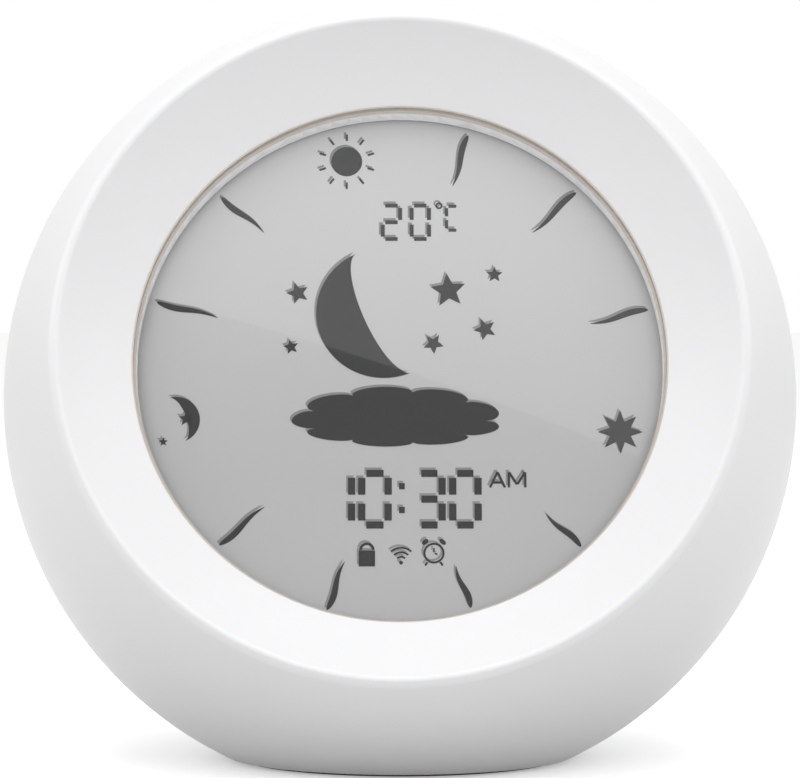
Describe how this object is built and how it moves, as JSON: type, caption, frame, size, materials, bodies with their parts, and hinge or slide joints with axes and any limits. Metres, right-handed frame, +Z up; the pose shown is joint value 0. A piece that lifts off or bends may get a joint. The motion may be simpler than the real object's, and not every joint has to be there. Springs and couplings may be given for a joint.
{
  "type": "alarm clock",
  "caption": "Ball-shaped bedside alarm clock with a dished rim, a round clear-windowed display leaning back, rear push keys, a top night-light key and a flat foot.",
  "frame": {"origin": "middle of the foot ring, on the surface the clock stands on", "axes": "+Z up, the display looks towards -Y and leans back, +X to the right seen from the front"},
  "size_m": [0.15, 0.1322, 0.1429],
  "materials": {
    "case_white": "fine satin, slightly milky",
    "base_white": "fine matt texture",
    "key_white": "satin",
    "foot_rubber": "matt",
    "gasket_rubber": "matt",
    "foam": "open foam",
    "window_clear": "clear, polished",
    "lcd_glass": "polarised, semi-matt",
    "lcd_ground": "grey reflective ground",
    "light_guide": "clear acrylic",
    "film_white": "matt film",
    "led_white": "gloss",
    "tray_white": "moulded",
    "screw_steel": "zinc plated",
    "board_green": "solder mask",
    "chip_black": "matt",
    "connector_cream": "moulded",
    "metal_can": "bright tin plate",
    "cell_jacket": "printed sleeve, left plain",
    "speaker_metal": "satin",
    "paper_cone": "matt pulp"
  },
  "bodies": {
    "case": {"front_shell": "case_white", "rear_shell": "case_white", "window_gasket": "gasket_rubber", "display_window": "window_clear", "display_foam_ring": "foam", "lcd_front_glass": "lcd_glass", "lcd_crystal_layer": "lcd_ground", "lcd_rear_glass": "lcd_glass", "backlight_diffuser": "film_white", "backlight_guide": "light_guide", "backlight_reflector": "film_white", "backlight_led_strip": "led_white", "display_tray": "tray_white", "display_tray_screws": "screw_steel", "main_board": "board_green", "main_board_screws": "screw_steel", "processor_chip": "chip_black", "wireless_module": "metal_can", "board_capacitors": "chip_black", "board_connectors": "connector_cream", "night_light_board": "board_green", "night_light_leds": "led_white", "night_light_screws": "screw_steel", "shell_screws": "screw_steel", "base_plate": "base_white", "non_slip_ring": "foot_rubber", "base_screws": "screw_steel", "backup_cells": "cell_jacket", "cell_contacts": "metal_can", "key_switches": "chip_black", "key_board": "board_green", "key_board_screws": "screw_steel", "night_light_key_switch": "chip_black", "night_light_key_board": "board_green", "night_light_key_screws": "screw_steel", "speaker_gasket": "foam", "speaker_basket": "speaker_metal", "speaker_cone": "paper_cone", "speaker_magnet": "speaker_metal", "speaker_clamp": "speaker_metal", "speaker_screws": "screw_steel", "usb_socket": "metal_can", "usb_board": "board_green", "temperature_sensor": "chip_black"},
    "door": {"battery_door": "base_white"},
    "alarm_button": {"alarm_key": "key_white", "alarm_key_plunger": "chip_black"},
    "down_button": {"down_key": "key_white", "down_key_plunger": "chip_black"},
    "up_button": {"up_key": "key_white", "up_key_plunger": "chip_black"},
    "mode_button": {"mode_key": "key_white", "mode_key_plunger": "chip_black"},
    "night_light_button": {"night_light_key": "key_white", "night_light_key_plunger": "chip_black"}
  },
  "joints": [
    {"name": "alarm_key_press", "type": "slide", "parent": "case", "child": "alarm_button", "axis": [0, -1, 0], "range_m": [0, 0.001], "stiffness_N_per_m": 1500},
    {"name": "down_key_press", "type": "slide", "parent": "case", "child": "down_button", "axis": [0, -1, 0], "range_m": [0, 0.001], "stiffness_N_per_m": 1500},
    {"name": "up_key_press", "type": "slide", "parent": "case", "child": "up_button", "axis": [0, -1, 0], "range_m": [0, 0.001], "stiffness_N_per_m": 1500},
    {"name": "mode_key_press", "type": "slide", "parent": "case", "child": "mode_button", "axis": [0, -1, 0], "range_m": [0, 0.001], "stiffness_N_per_m": 1500},
    {"name": "night_light_key_press", "type": "slide", "parent": "case", "child": "night_light_button", "axis": [0, -0.4695, -0.8829], "range_m": [0, 0.001], "stiffness_N_per_m": 1500},
    {"name": "battery_door_tilt", "type": "hinge", "parent": "case", "child": "door", "pos_m": [0, 0.0109, 0.0007], "axis": [1, 0, 0], "range_deg": [0, 40]}
  ]
}
